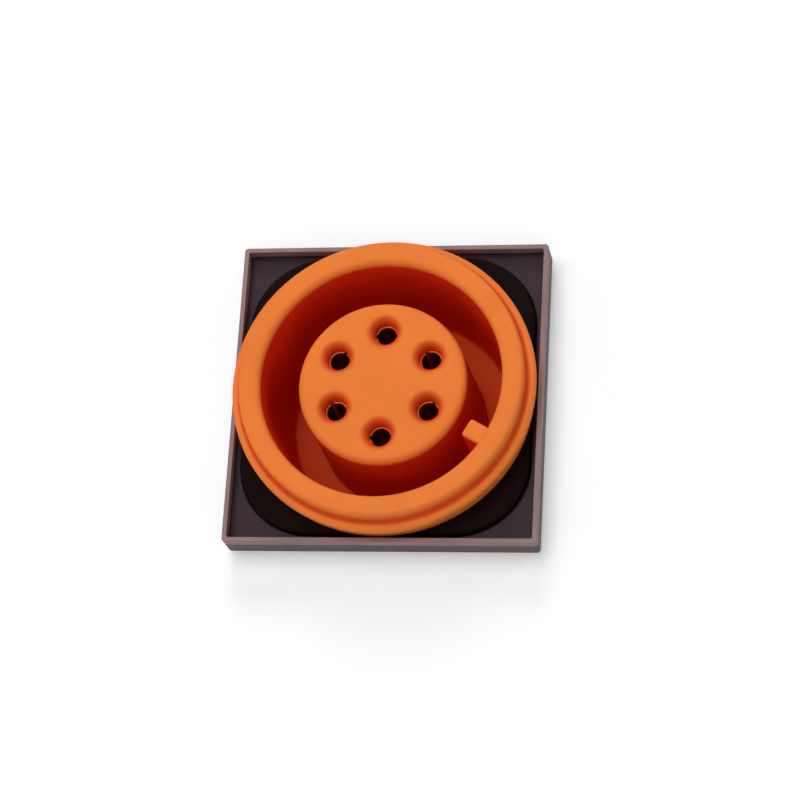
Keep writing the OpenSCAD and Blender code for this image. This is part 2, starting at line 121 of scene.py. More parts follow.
# The photograph's view, from below and from the right
AZIMUTH, ELEVATION, ROLL, FIELD_OF_VIEW = (math.radians(a) for a in (11.0, -19.48, 3.46, 17.644))
CAMERA_DISTANCE = 217.6 * MM
CAMERA_TARGET = Vector((0.537 * MM, 0.0, 0.445 * MM))
SENSOR_MM = 36.0


def length(name, description, default_mm):
    """A length property, given in millimetres and kept in metres."""
    return FloatProperty(
        name=name, description=description, default=default_mm * MM, min=0.0,
        subtype="DISTANCE", unit="LENGTH", precision=5,
    )


class ConnectorSizes(bpy.types.PropertyGroup):
    """Sizes of the dressed pieces that the CAD nodes' boxes don't give."""

    mouth_r: length("Well mouth", "Radius of the well at its mouth", 10.125)
    floor_r: length("Well floor", "Radius of the well at its floor", 9.605)
    well_depth: length("Well depth", "Depth of the well behind the rim", 12.6)
    rim_r: length("Rim", "Outer radius of the rim's end face", 11.845)
    rim_in_round: length("Rim inside", "Rounding of the rim's inner edge", 0.5)
    rim_out_round: length("Rim outside", "Rounding of the rim's outer edge", 0.25)
    step_depth: length("Step", "Depth of the step from the rim to the bead", 1.45)
    step_lean: length("Step lean", "How far the step's wall leans outwards", 0.15)
    step_round: length("Step fillet", "Fillet between the step and the bead", 0.3)
    bead_round: length("Bead", "Rounding of the bead's front edge", 0.35)
    bead_height: length("Bead height", "Height of the bead along the axis", 0.7)
    side_in: length("Side", "How far the flange's side lies inside the bead", 0.29)
    crest_r: length("Thread crest", "Radius of the thread's crest", 11.5)
    thread_pitch: length("Thread pitch", "Distance between two turns", 1.0)
    thread_depth: length("Thread depth", "Height of the thread's ridge", 0.6)
    key_width: length("Key width", "Width of the polarising key", 1.6)
    key_round: length("Key edges", "Rounding of the polarising key's edges", 0.26)
    key_height: length("Key height", "How far the polarising key stands out", 1.7)
    key_back: length("Key set-back", "How far the key ends behind the rim", 0.35)
    key_angle: FloatProperty(
        name="Key angle", description="Angle of the key, seen from the plug's side",
        default=math.radians(-29.4), subtype="ANGLE", unit="ROTATION",
    )
    rib_width: length("Rib width", "Width of the rib that keeps the shell from turning", 2.4)
    rib_height: length("Rib height", "How far that rib stands out from the barrel", 1.2)
    rib_room: length("Rib room", "Clearance round that rib in the plate and its gasket", 0.1)
    insert_r: length("Insert", "Radius of the insert's face", 7.05)
    insert_draft: length("Insert draft", "How much wider the insert is at the floor", 0.15)
    insert_round: length("Insert edge", "Rounding of the insert's front edge", 0.55)
    funnel_r: length("Funnel", "Radius of a funnel at the insert's face", 1.6)
    funnel_depth: length("Funnel depth", "Depth of a funnel", 0.95)
    entry_r: length("Entry", "Radius of the narrow end of a funnel", 0.9)
    socket_r: length("Socket bore", "Radius of the bore that takes a pin", 0.775)
    contact_r: length("Socket", "Outer radius of a socket", 1.2)
    crimp_r: length("Crimp barrel", "Outer radius of a crimp barrel", 1.3)
    crimp_bore_r: length("Crimp bore", "Radius of a crimp bore", 0.9)
    socket_depth: length("Socket depth", "Depth of the bore that takes a pin", 8.8)
    crimp_depth: length("Crimp depth", "Depth of a crimp bore", 5.0)
    window_r: length("Crimp window", "Radius of the window into a crimp bore", 0.3)
    slot_width: length("Slot", "Width of the slot in a socket", 0.3)
    slot_length: length("Slot length", "Length of the slot in a socket", 6.4)
    plate_corner: length("Plate corner", "Corner radius of the bezel plate", 0.3)
    lip_width: length("Lip", "Width of the lip round the bezel plate", 0.4)
    lip_height: length("Lip height", "Height of the lip", 1.2)
    gasket_corner: length("Gasket corner", "Corner radius of the front gasket", 6.2)
    bore_r: length("Plate bore", "Radius of the bore through plate and gaskets", 11.65)
    nut_bore_r: length("Nut bore", "Radius of the nut's bore", 11.225)
    nut_chamfer: length("Nut chamfer", "Width of the chamfer at the nut's flats", 0.15)
    nut_lead: length("Nut lead", "Depth of the lead at each end of the nut's bore", 0.4)
    washer_band: length("Washer band", "Width of the lock washer inside its teeth", 1.25)
    washer_sheet: length("Washer sheet", "Thickness of the lock washer's sheet", 0.5)
    tooth_count: IntProperty(
        name="Teeth", description="Number of teeth on the lock washer", default=20, min=3,
    )


class ConnectorColours(bpy.types.PropertyGroup):
    """Colours of the finishes, as sRGB hex values."""

    orange: StringProperty(
        name="Shell", description="Colour of the orange mouldings", default="#F38236")
    # Painted shade: the well's wall and floor are painted this deeper red where they lie in shade
    well_shade_orange: StringProperty(
        name="Shell, hollows", description="Colour of the orange in the well", default="#E72C07")
    # Painted shade: the step's wall, the insert's side and the funnels' throats are painted this
    # darker orange
    hollow_shade_orange: StringProperty(
        name="Insert, hollows", description="Colour of the orange in the funnels",
        default="#D8420A")
    charcoal: StringProperty(
        name="Bezel", description="Colour of the bezel plate", default="#301D25")
    # Painted highlight: the plate's lip, and less its outer sides, are painted this paler colour
    lip: StringProperty(
        name="Bezel lip", description="Colour of the plate's highlit lip", default="#947778")
    rubber: StringProperty(
        name="Gaskets", description="Colour of the rubber gaskets", default="#120607")
    silicone: StringProperty(
        name="Seals", description="Colour of the silicone seals", default="#57575A")
    gold: StringProperty(
        name="Contacts", description="Colour of the plating on the contacts", default="#C9993F")
    # Painted shade and a painted reflection of the orange round them, on the sockets in the insert
    socket_shade_gold: StringProperty(
        name="Sockets", description="Colour of the plating in the dark of the insert",
        default="#B85024")
    copper: StringProperty(
        name="Clips", description="Colour of the sprung clips", default="#C08A5C")
    nickel: StringProperty(
        name="Nut", description="Colour of the plating on the nut", default="#B4B1A8")
    steel: StringProperty(
        name="Springs", description="Colour of the spring steel", default="#9EA1A6")


def linear(hex_colour, factor):
    """Turns an sRGB hex value into linear red, green and blue times a factor, and alpha."""
    channels = [int(hex_colour[i:i + 2], 16) / 255 for i in (1, 3, 5)]
    return [
        factor * (c / 12.92 if c <= 0.04045 else ((c + 0.055) / 1.055) ** 2.4)
        for c in channels] + [1.0]


def add_node(tree, kind, inputs=None, links=None, **settings):
    """Adds a node with its settings and socket values, and links other sockets to its inputs."""
    node = tree.nodes.new(kind)
    for key, value in settings.items():
        setattr(node, key, value)
    for key, value in (inputs or {}).items():
        node.inputs[key].default_value = value
    for key, socket in (links or {}).items():
        tree.links.new(socket, node.inputs[key])
    return node


def new_material(name):
    """An empty material with an output node, or None in place of its tree if it exists."""
    material = bpy.data.materials.get(name)
    if material:
        return material, None, None
    material = bpy.data.materials.new(name)
    material.use_nodes = True
    tree = material.node_tree
    tree.nodes.clear()
    return material, tree, tree.nodes.new("ShaderNodeOutputMaterial")


def grained(
    name, colour, light, dark, patch_mm, grain_mm, bump_mm, shader, rough, stretch=(1, 1, 1),
    others=(),
):
    """A surface with slow patches of colour and gloss over a fine grain.

    patch_mm is the real width of a patch. The real grain of these finishes is a few hundredths of
    a millimetre wide, too fine to show in the render, so grain_mm is as coarse as it needs to
    show. stretch pulls both out. light and dark are what the patches make of a colour, and rough
    is the span of roughness. others holds more colours, each with the function that gives the
    factors of its mask.
    """
    material, tree, output = new_material(name)
    if tree is None:
        return material
    colours = bpy.context.scene.connector_colours
    place = add_node(tree, "ShaderNodeTexCoord").outputs["Object"]
    pulled = add_node(tree, "ShaderNodeMapping", {"Scale": stretch}, {"Vector": place})
    patches = add_node(
        tree, "ShaderNodeTexNoise",
        {"Scale": 1 / (patch_mm * MM), "Detail": 3.0, "Roughness": 0.55},
        {"Vector": pulled.outputs["Vector"]})
    grain = add_node(
        tree, "ShaderNodeTexNoise",
        {"Scale": 1 / (grain_mm * MM), "Detail": 2.0, "Roughness": 0.6},
        {"Vector": pulled.outputs["Vector"]})
    shown = None
    for tone, mask in ((colour, None), *others):
        tint = add_node(tree, "ShaderNodeValToRGB", links={"Fac": patches.outputs["Fac"]})
        for index, (at, factor) in enumerate(((NOISE_LOW, dark), (NOISE_HIGH, light))):
            stop = tint.color_ramp.elements[index]
            stop.position = at
            stop.color = linear(getattr(colours, tone), factor)
        if mask is None:
            shown = tint.outputs["Color"]
            continue
        amount, *factors = mask(tree, place)
        for factor in factors:
            narrowed = add_node(
                tree, "ShaderNodeMath", links={0: amount, 1: factor}, operation="MULTIPLY")
            amount = narrowed.outputs[0]
        # Inputs 6 and 7 of a colour mix are its two colours, and output 2 is the result
        mix = add_node(
            tree, "ShaderNodeMix", links={0: amount, 6: shown, 7: tint.outputs["Color"]},
            data_type="RGBA")
        shown = mix.outputs[2]
    gloss = add_node(
        tree, "ShaderNodeMapRange",
        {"From Min": NOISE_LOW, "From Max": NOISE_HIGH, "To Min": rough[0], "To Max": rough[1]},
        {"Value": grain.outputs["Fac"]})
    relief = add_node(
        tree, "ShaderNodeBump", {"Strength": 0.6, "Distance": bump_mm * MM},
        {"Height": grain.outputs["Fac"]})
    surface = add_node(
        tree, "ShaderNodeBsdfPrincipled", shader,
        {"Base Color": shown, "Roughness": gloss.outputs["Result"],
         "Normal": relief.outputs["Normal"]})
    tree.links.new(surface.outputs["BSDF"], output.inputs["Surface"])
    return material


def level_and_offset(tree, place):
    """Sockets with the place along the row's Y axis and its offset from the connector's axis."""
    parts = add_node(tree, "ShaderNodeSeparateXYZ", links={"Vector": place})
    across = add_node(
        tree, "ShaderNodeVectorMath", {1: (1.0, 0.0, 1.0)}, {0: place}, operation="MULTIPLY")
    return parts.outputs["Y"], across.outputs["Vector"]


def level_and_radius(tree, place):
    """The same, with the offset's length."""
    level, offset = level_and_offset(tree, place)
    radius = add_node(tree, "ShaderNodeVectorMath", links={0: offset}, operation="LENGTH")
    return level, radius.outputs["Value"]


def well_shade_mask(tree, place):
    """Mask of painted shade: one on the well's wall, less on its floor, and nought elsewhere."""
    sizes = bpy.context.scene.connector_sizes
    level, radius = level_and_radius(tree, place)
    floor = sizes.well_depth - RIM
    # It sets in under the rim, pales at the floor, and ends behind the floor and inside the wall
    return [
        add_node(
            tree, "ShaderNodeMapRange",
            {"From Min": low, "From Max": high, "To Min": start, "To Max": end},
            {"Value": value}, interpolation_type=way).outputs["Result"]
        for value, low, high, start, end, way in (
            (level, 0.4 * MM - RIM, 0.9 * MM - RIM, 0.0, 1.0, "SMOOTHSTEP"),
            (level, floor - 0.7 * MM, floor - 0.1 * MM, 1.0, 0.7, "LINEAR"),
            (level, floor + 0.2 * MM, -WEB_BACK, 1.0, 0.0, "LINEAR"),
            (radius, sizes.mouth_r + 0.1 * MM, sizes.mouth_r + 0.5 * MM, 1.0, 0.0, "LINEAR"))]


def step_shade_mask(tree, place):
    """Mask of painted shade: rises down the wall of the step to its foot, and nought elsewhere."""
    sizes = bpy.context.scene.connector_sizes
    level, radius = level_and_radius(tree, place)
    foot_r = sizes.rim_r + sizes.step_lean
    # It deepens from the rim to the foot, sets in at the wall, and fades over the fillet
    return [
        add_node(
            tree, "ShaderNodeMapRange",
            {"From Min": low, "From Max": high, "To Min": start, "To Max": end},
            {"Value": value}).outputs["Result"]
        for value, low, high, start, end in (
            (level, 0.3 * MM - RIM, sizes.step_depth - 0.4 * MM - RIM, 0.0, 0.88),
            (radius, sizes.rim_r - 0.04 * MM, sizes.rim_r, 0.0, 1.0),
            (radius, foot_r + 0.12 * MM, foot_r + sizes.step_round + 0.04 * MM, 1.0, 0.0))]


def insert_shade_mask(tree, place):
    """Mask of painted shade: one on the insert's side and in its funnels' throats, nought on its
    face.
    """
    sizes = bpy.context.scene.connector_sizes
    level, offset = level_and_offset(tree, place)
    # The circle of contacts is the same in each quarter, where two of them stand
    quarter = add_node(tree, "ShaderNodeVectorMath", links={0: offset}, operation="ABSOLUTE")
    away = [
        add_node(
            tree, "ShaderNodeVectorMath",
            {1: (CIRCLE_R * math.cos(turn), 0.0, CIRCLE_R * math.sin(turn))},
            {0: quarter.outputs["Vector"]}, operation="DISTANCE").outputs["Value"]
        for turn in (math.radians(30), math.radians(90))]
    nearest = add_node(
        tree, "ShaderNodeMath", links={0: away[0], 1: away[1]}, operation="MINIMUM")
    side, throats = (
        add_node(
            tree, "ShaderNodeMapRange",
            {"From Min": low, "From Max": high, "To Min": start, "To Max": end},
            {"Value": value}, interpolation_type="SMOOTHSTEP").outputs["Result"]
        for value, low, high, start, end in (
            (level, 0.3 * MM - FACE, 0.9 * MM - FACE, 0.0, 1.0),
            (nearest.outputs[0], sizes.entry_r + 0.1 * MM, sizes.funnel_r + 0.12 * MM, 0.95, 0.0)))
    both = add_node(tree, "ShaderNodeMath", links={0: side, 1: throats}, operation="MAXIMUM")
    return [both.outputs[0]]


def orange_polyester(name, *others):
    """Glass-filled polyester, moulded against a fine matt tool.

    It is strongly coloured. In the hollows and at the step it is painted a deeper, redder orange
    as painted shade, with the colours and masks that others holds.
    """
    return grained(
        name, "orange", light=1.03, dark=0.96, patch_mm=4.0, grain_mm=0.22, bump_mm=0.006,
        shader={"IOR": 1.5, "Specular IOR Level": 0.13}, rough=(0.55, 0.68), others=others)


def lip_highlight_mask(tree, place):
    """Mask of painted highlight: one on the plate's raised lip, less on its sides, nought on field
    and back.
    """
    field = LIP - bpy.context.scene.connector_sizes.lip_height
    parts = add_node(tree, "ShaderNodeSeparateXYZ", links={"Vector": place}).outputs
    away = [
        add_node(tree, "ShaderNodeMath", links={0: parts[axis]}, operation="ABSOLUTE").outputs[0]
        for axis in ("X", "Z")]
    farther = add_node(
        tree, "ShaderNodeMath", links={0: away[0], 1: away[1]}, operation="MAXIMUM")
    raised, side = (
        add_node(
            tree, "ShaderNodeMapRange",
            {"From Min": low, "From Max": high, "To Min": start, "To Max": end},
            {"Value": value}).outputs["Result"]
        for value, low, high, start, end in (
            (parts["Y"], -field - 0.4 * MM, -field - 0.15 * MM, 1.0, 0.0),
            (farther.outputs[0], PLATE_HALF - 0.12 * MM, PLATE_HALF - 0.05 * MM, 0.0, 0.35)))
    both = add_node(tree, "ShaderNodeMath", links={0: raised, 1: side}, operation="MAXIMUM")
    return [both.outputs[0]]


def gold_shade_mask(tree, place):
    """Mask of painted shade and reflection: one on a contact's part in the insert, nought behind
    it.
    """
    parts = add_node(tree, "ShaderNodeSeparateXYZ", links={"Vector": place})
    front = add_node(
        tree, "ShaderNodeMapRange",
        {"From Min": -INSERT_BACK - 2 * MM, "From Max": -INSERT_BACK, "To Min": 1.0,
         "To Max": 0.0},
        {"Value": parts.outputs["Y"]})
    return [front.outputs["Result"]]


def charcoal_polycarbonate():
    """Polycarbonate moulded against a spark-eroded tool, which scatters the light evenly.

    The raised lip, and less the outer sides, are painted paler than the field as a painted
    highlight.
    """
    return grained(
        "spark_textured_polycarbonate_charcoal_painted_highlight", "charcoal", light=1.12, dark=0.9, patch_mm=3.0,
        grain_mm=0.2, bump_mm=0.008, shader={"IOR": 1.5, "Specular IOR Level": 0.2},
        rough=(0.5, 0.66), others=[("lip", lip_highlight_mask)])


def black_nitrile():
    """Nitrile rubber cut from sheet: nearly black, dull, with a little bloom in patches."""
    return grained(
        "cut_nitrile_sheet_black", "rubber", light=1.35, dark=0.8, patch_mm=2.2, grain_mm=0.16,
        bump_mm=0.006, shader={"IOR": 1.5, "Specular IOR Level": 0.06}, rough=(0.7, 0.85))


def grey_silicone():
    """Silicone moulded in a polished tool: soft, and a little glossier than nitrile."""
    return grained(
        "moulded_silicone_grey", "silicone", light=1.08, dark=0.92, patch_mm=3.0, grain_mm=0.3,
        bump_mm=0.005,
        shader={"IOR": 1.42, "Specular IOR Level": 0.4, "Subsurface Weight": 0.2,
                "Subsurface Radius": (1.0, 1.0, 1.0), "Subsurface Scale": 0.4 * MM},
        rough=(0.5, 0.62))


def gold_plate():
    """Gold over turned copper alloy: fine rings from the lathe show along the axis.

    Where it stands in the insert it is painted a darker copper-red: painted shade, and a painted
    reflection of the orange round it.
    """
    return grained(
        "turned_gold_plated_copper_painted_shade", "gold", light=1.12, dark=0.86, patch_mm=0.6, grain_mm=0.14,
        bump_mm=0.004, shader={"Metallic": 1.0}, rough=(0.28, 0.4), stretch=(0.12, 1.0, 0.12),
        others=[("socket_shade_gold", gold_shade_mask)])


def beryllium_copper():
    """Rolled and hardened strip: faint lines along the rolling direction."""
    return grained(
        "rolled_beryllium_copper", "copper", light=1.06, dark=0.86, patch_mm=1.2, grain_mm=0.12,
        bump_mm=0.003, shader={"Metallic": 1.0}, rough=(0.3, 0.44), stretch=(1.0, 0.2, 1.0))


def nickel_plate():
    """Satin nickel over machined brass: soft reflections with a slight warm cast."""
    return grained(
        "satin_nickel_plated_brass", "nickel", light=1.03, dark=0.9, patch_mm=2.5, grain_mm=0.18,
        bump_mm=0.003, shader={"Metallic": 1.0}, rough=(0.36, 0.48))


def spring_steel():
    """Blanked spring steel: faint rolling lines and darker patches from the furnace."""
    return grained(
        "blanked_spring_steel", "steel", light=1.06, dark=0.82, patch_mm=2.0, grain_mm=0.15,
        bump_mm=0.004, shader={"Metallic": 1.0}, rough=(0.28, 0.42), stretch=(0.3, 1.0, 1.0))


def add_turned(bm, section, steps=160):
    """Spins a closed section about Z. Each of its corners is a radius, a level and a rounding."""
    corners = [bm.verts.new((r, 0.0, z)) for r, z, _ in section]
    sides = [bm.edges.new((a, b)) for a, b in zip(corners, corners[1:] + corners[:1])]
    bmesh.ops.spin(
        bm, geom=corners + sides, cent=(0, 0, 0), axis=(0, 0, 1), angle=math.tau,
        steps=steps, use_merge=True)
    bmesh.ops.recalc_face_normals(bm, faces=bm.faces)

    def on_corner(vert, places):
        radius = math.hypot(vert.co.x, vert.co.y)
        return any(abs(radius - r) < NEAR and abs(vert.co.z - z) < NEAR for r, z in places)

    for rounding in sorted({c for _, _, c in section if c}):
        places = [(r, z) for r, z, c in section if c == rounding]
        rings = [
            e for e in bm.edges
            if abs(e.verts[0].co.z - e.verts[1].co.z) < MERGE
            and all(on_corner(v, places) for v in e.verts)]
        bmesh.ops.bevel(
            bm, geom=rings, offset=rounding, offset_type="OFFSET", segments=5, profile=0.5,
            affect="EDGES", material=-1, clamp_overlap=False)
    if any(r == 0.0 for r, _, _ in section):
        bmesh.ops.remove_doubles(bm, verts=bm.verts, dist=MERGE)


def add_block(bm, size, middle):
    """A plain block, given by its size and its middle."""
    verts = bmesh.ops.create_cube(bm, size=1.0)["verts"]
    bmesh.ops.scale(bm, vec=size, verts=verts)
    bmesh.ops.translate(bm, vec=middle, verts=verts)
    return verts


def add_box(bm, low, high, turn=0.0, rounding=0.0):
    """A box between two corners, turned about Z, with all its edges rounded."""
    low, high = Vector(low), Vector(high)
    verts = add_block(bm, high - low, (low + high) / 2)
    if rounding:
        edges = list({e for v in verts for e in v.link_edges})
        rounded = bmesh.ops.bevel(
            bm, geom=edges, offset=rounding, offset_type="OFFSET", segments=5, profile=0.5,
            affect="EDGES", material=-1, clamp_overlap=True)
        verts = list(
            {v for f in rounded["faces"] for v in f.verts} | {v for v in verts if v.is_valid})
    bmesh.ops.rotate(bm, cent=(0, 0, 0), matrix=Matrix.Rotation(turn, 3, "Z"), verts=verts)
    return verts


def add_prism(bm, half_width, corner, back, front, segments=10):
    """A square prism along Z with rounded corners."""
    verts = add_block(
        bm, (2 * half_width, 2 * half_width, front - back), (0, 0, (front + back) / 2))
    upright = [
        e for e in {e for v in verts for e in v.link_edges}
        if abs(e.verts[0].co.z - e.verts[1].co.z) > NEAR]
    bmesh.ops.bevel(
        bm, geom=upright, offset=corner, offset_type="OFFSET", segments=segments, profile=0.5,
        affect="EDGES", material=-1, clamp_overlap=True)


def mesh_of(bm, name):
    """A mesh of what the bmesh holds. The bmesh is used up."""
    mesh = bpy.data.meshes.new(name)
    bm.to_mesh(mesh)
    bm.free()
    return mesh


def linked(name, data):
    """A new object in the scene."""
    item = bpy.data.objects.new(name, data)
    bpy.context.scene.collection.objects.link(item)
    return item


def carved(bm, tool, operation="DIFFERENCE"):
    """The first mesh with the second cut from it or kept in common. Both are used up."""
    objects = []
    for part in (bm, tool):
        bmesh.ops.recalc_face_normals(part, faces=part.faces)
        objects.append(linked("rough", mesh_of(part, "rough")))
    body, cutter = objects
    cut = body.modifiers.new("cut", "BOOLEAN")
    cut.solver = "EXACT"
    cut.operation = operation
    cut.object = cutter
    result = bmesh.new()
    result.from_object(body, bpy.context.evaluated_depsgraph_get())
    bmesh.ops.remove_doubles(result, verts=result.verts, dist=NEAR)
    bmesh.ops.dissolve_degenerate(result, edges=result.edges, dist=NEAR)
    for item in objects:
        mesh = item.data
        bpy.data.objects.remove(item)
        bpy.data.meshes.remove(mesh)
    return result


def finished(bm, *piece, **edges):
    """Turns a mesh to the row's frame and makes it a piece, as placed does."""
    bmesh.ops.transform(bm, matrix=TO_ROW, verts=bm.verts)
    placed(bm, *piece, **edges)


def placed(bm, name, material, node, slot, bevel_mm=0.0, crease=32.0, segments=2):
    """Makes a mesh that is in the row's frame a piece that stands for its CAD node."""
    mesh = mesh_of(bm, name)
    mesh.polygons.foreach_set("use_smooth", [True] * len(mesh.polygons))
    mesh.set_sharp_from_angle(angle=math.radians(crease))
    mesh.materials.append(material)
    piece = linked(name, mesh)
    if bevel_mm:
        bevel = piece.modifiers.new("soft_edges", "BEVEL")
        bevel.width = bevel_mm * MM
        bevel.segments = segments
        bevel.limit_method = "ANGLE"
        bevel.angle_limit = math.radians(crease)
    normals = piece.modifiers.new("even_shading", "WEIGHTED_NORMAL")
    normals.keep_sharp = True
    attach(piece, "root")
    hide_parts(node)


def softened_copy(node, name, material, slot, bevel_mm):
    """A merged copy of a CAD node with softened edges, in place of the node's loose triangles."""
    bm = bmesh.new()
    bm.from_mesh(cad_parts[node].data)
    bmesh.ops.remove_doubles(bm, verts=bm.verts, dist=NEAR)
    bmesh.ops.dissolve_limit(
        bm, angle_limit=math.radians(1.0), verts=bm.verts, edges=bm.edges, delimit={"NORMAL"})
    placed(bm, name, material, node, slot, bevel_mm)


def dress_node(node, material):
    """Gives a CAD node that keeps its own mesh its material."""
    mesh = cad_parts[node].data
    mesh.materials.clear()
    mesh.materials.append(material)


def place_on_circle(index):
    """Matrix that puts a piece built on the Z axis at one contact's place."""
    turn = Matrix.Rotation(math.radians(90 - 360 / CONTACT_COUNT * (index - 1)), 4, "Z")
    return turn @ Matrix.Translation((CIRCLE_R, 0, 0))


class CONNECTOR_OT_shell(bpy.types.Operator):
    """Builds the orange shell with its keyed well and its threaded barrel"""

    bl_idname = "connector.shell"
    bl_label = "Shell"

    def section(self, sizes):
        """Half section of the shell, from the rim round the outside to the well's floor."""
        step = RIM - sizes.step_depth
        bead_back = step - sizes.bead_height
        side_r = BEAD_R - sizes.side_in
        barrel_front = PANEL_PLANE - 0.4 * MM
        root_r = sizes.crest_r - sizes.thread_depth
        floor = RIM - sizes.well_depth
        bore_r = STACK_R + 0.1 * MM
        groove_r = bore_r + 0.4 * MM
        groove_back = RING_BACK - 0.1 * MM
        neck_r = sizes.insert_r + sizes.insert_draft + 0.03 * MM
        return [
            (sizes.mouth_r, RIM, sizes.rim_in_round),
            (sizes.rim_r, RIM, sizes.rim_out_round),
            (sizes.rim_r + sizes.step_lean, step, sizes.step_round),
            (BEAD_R, step, sizes.bead_round),
            (BEAD_R, bead_back, 0.12 * MM),
            (side_r, bead_back - sizes.side_in, 0.0),
            (side_r, FLANGE_BACK, 0.08 * MM),
            (sizes.crest_r, FLANGE_BACK, 0.0),
            (sizes.crest_r, barrel_front, 0.05 * MM),
            (root_r, barrel_front - sizes.thread_depth, 0.0),
            (root_r, SHELL_BACK, 0.35 * MM),
            (bore_r, SHELL_BACK, 0.15 * MM),
            (bore_r, groove_back, 0.0),
            (groove_r, groove_back, 0.0),
            (groove_r, RING_FRONT, 0.0),
            (bore_r, RING_FRONT, 0.0),
            (bore_r, WEB_BACK, 0.0),
            (neck_r, WEB_BACK, 0.0),
            (neck_r, floor, 0.1 * MM),
            (sizes.floor_r, floor, 0.25 * MM),
        ]

    def add_thread(self, bm, sizes):
        """A helical ridge on the barrel, turned down to a cone at its rear end."""
        front, cone_back = PANEL_PLANE - 0.3 * MM, RING_FRONT + 1.4 * MM
        cone_front = cone_back + 0.8 * MM
        root_r, crest_r = sizes.crest_r - sizes.thread_depth - 0.05 * MM, sizes.crest_r - 0.01 * MM
        half_base, half_crest = 0.43 * sizes.thread_pitch, 0.07 * sizes.thread_pitch
        steps_per_turn = 72
        steps = int((front - cone_back) / sizes.thread_pitch * steps_per_turn)
        profile = [
            (root_r, half_base), (crest_r, half_crest), (crest_r, -half_crest),
            (root_r, -half_base)]
        start = bm.faces.new([bm.verts.new((r, 0.0, front + z)) for r, z in profile])
        bmesh.ops.spin(
            bm, geom=[start], cent=(0, 0, 0), axis=(0, 0, 1),
            angle=math.tau * steps / steps_per_turn, steps=steps,
            dvec=(0, 0, -sizes.thread_pitch / steps_per_turn))
        for vert in bm.verts:
            radius = math.hypot(vert.co.x, vert.co.y)
            share = max(vert.co.z - cone_back, 0.0) / (cone_front - cone_back)
            cone_r = root_r + share * (crest_r - root_r)
            if radius > root_r + MERGE and vert.co.z < cone_front and cone_r < radius:
                vert.co.x *= cone_r / radius
                vert.co.y *= cone_r / radius

    def execute(self, context):
        sizes = context.scene.connector_sizes
        ridge = bmesh.new()
        self.add_thread(ridge, sizes)
        bmesh.ops.recalc_face_normals(ridge, faces=ridge.faces)
        thread = mesh_of(ridge, "thread")

        bm = bmesh.new()
        add_turned(bm, self.section(sizes), steps=224)
        floor = RIM - sizes.well_depth
        # The key and the rib reach into the moulding that carries them
        into_floor, into_wall, into_barrel, lap = 0.3 * MM, 0.7 * MM, 0.5 * MM, 0.02 * MM
        add_box(
            bm, (sizes.mouth_r - sizes.key_height, -sizes.key_width / 2, floor - into_floor),
            (sizes.mouth_r + into_wall, sizes.key_width / 2, RIM - sizes.key_back),
            turn=sizes.key_angle, rounding=sizes.key_round)
        add_box(
            bm, (sizes.crest_r - into_barrel, -sizes.rib_width / 2, PLATE_BACK + lap),
            (sizes.crest_r + sizes.rib_height, sizes.rib_width / 2, FLANGE_BACK + lap),
            turn=RIB_TURN)
        bm.from_mesh(thread)
        bpy.data.meshes.remove(thread)
        # The well and the step's wall are painted darker as painted shade
        plastic = orange_polyester(
            "matt_moulded_polyester_orange_shell_painted_shade",
            ("well_shade_orange", well_shade_mask), ("hollow_shade_orange", step_shade_mask))
        finished(bm, "shell_moulding", plastic, "shell", "shell_plastic")
        return {"FINISHED"}


class CONNECTOR_OT_insert(bpy.types.Operator):
    """Builds the orange insert with its six funnels, and dresses what stands behind it"""

    bl_idname = "connector.insert"
    bl_label = "Insert and seals"

    def execute(self, context):
        sizes = context.scene.connector_sizes
        foot_r = sizes.insert_r + sizes.insert_draft
        body = bmesh.new()
        add_turned(body, [
            (0.0, FACE, 0.0),
            (sizes.insert_r, FACE, sizes.insert_round),
            (foot_r, RIM - sizes.well_depth, 0.0),
            (foot_r, SEAL_BACK, 0.0),
            (STACK_R, SEAL_BACK, 0.0),
            (STACK_R, INSERT_BACK, 0.0),
            (BLOCK_R, INSERT_BACK, 0.0),
            (BLOCK_R, CONTACT_FRONT, 0.0),
            (0.0, CONTACT_FRONT, 0.0),
        ], steps=192)
        flare = sizes.funnel_r - sizes.entry_r
        past_end = 0.4 * MM
        # The funnel's wall is a quarter of an ellipse, in steps of nine degrees
        curve = [
            (sizes.funnel_r - flare * math.sin(math.radians(a)),
             FACE - sizes.funnel_depth * (1 - math.cos(math.radians(a))), 0.0)
            for a in range(0, 91, 9)]
        funnel = bmesh.new()
        add_turned(funnel, [
            (0.0, FACE + past_end, 0.0),
            (sizes.funnel_r, FACE + past_end, 0.0),
            *curve,
            (sizes.entry_r, CONTACT_FRONT - past_end, 0.0),
            (0.0, CONTACT_FRONT - past_end, 0.0),
        ], steps=72)
        one = mesh_of(funnel, "funnel")
        holes = bmesh.new()
        for index in range(1, CONTACT_COUNT + 1):
            before = len(holes.verts)
            holes.from_mesh(one)
            holes.verts.ensure_lookup_table()
            bmesh.ops.transform(
                holes, matrix=place_on_circle(index), verts=holes.verts[before:])
        bpy.data.meshes.remove(one)
        # The insert's side and the throats of its funnels are painted darker as painted shade
        plastic = orange_polyester(
            "matt_moulded_polyester_orange_insert_painted_shade", ("hollow_shade_orange", insert_shade_mask))
        finished(
            carved(body, holes), "insert_moulding", plastic, "contact_insert", "shell_plastic",
            crease=38.0)
        for node in ("contact_block", "clip_carrier"):
            dress_node(node, orange_polyester("matt_moulded_polyester_orange"))
        dress_node("insert_seal", grey_silicone())
        softened_copy(
            "rear_grommet", "rear_grommet_moulding", grey_silicone(), "seal_silicone", 0.1)
        softened_copy(
            "retaining_ring", "retaining_ring_blank", spring_steel(), "spring_steel", 0.08)
        return {"FINISHED"}


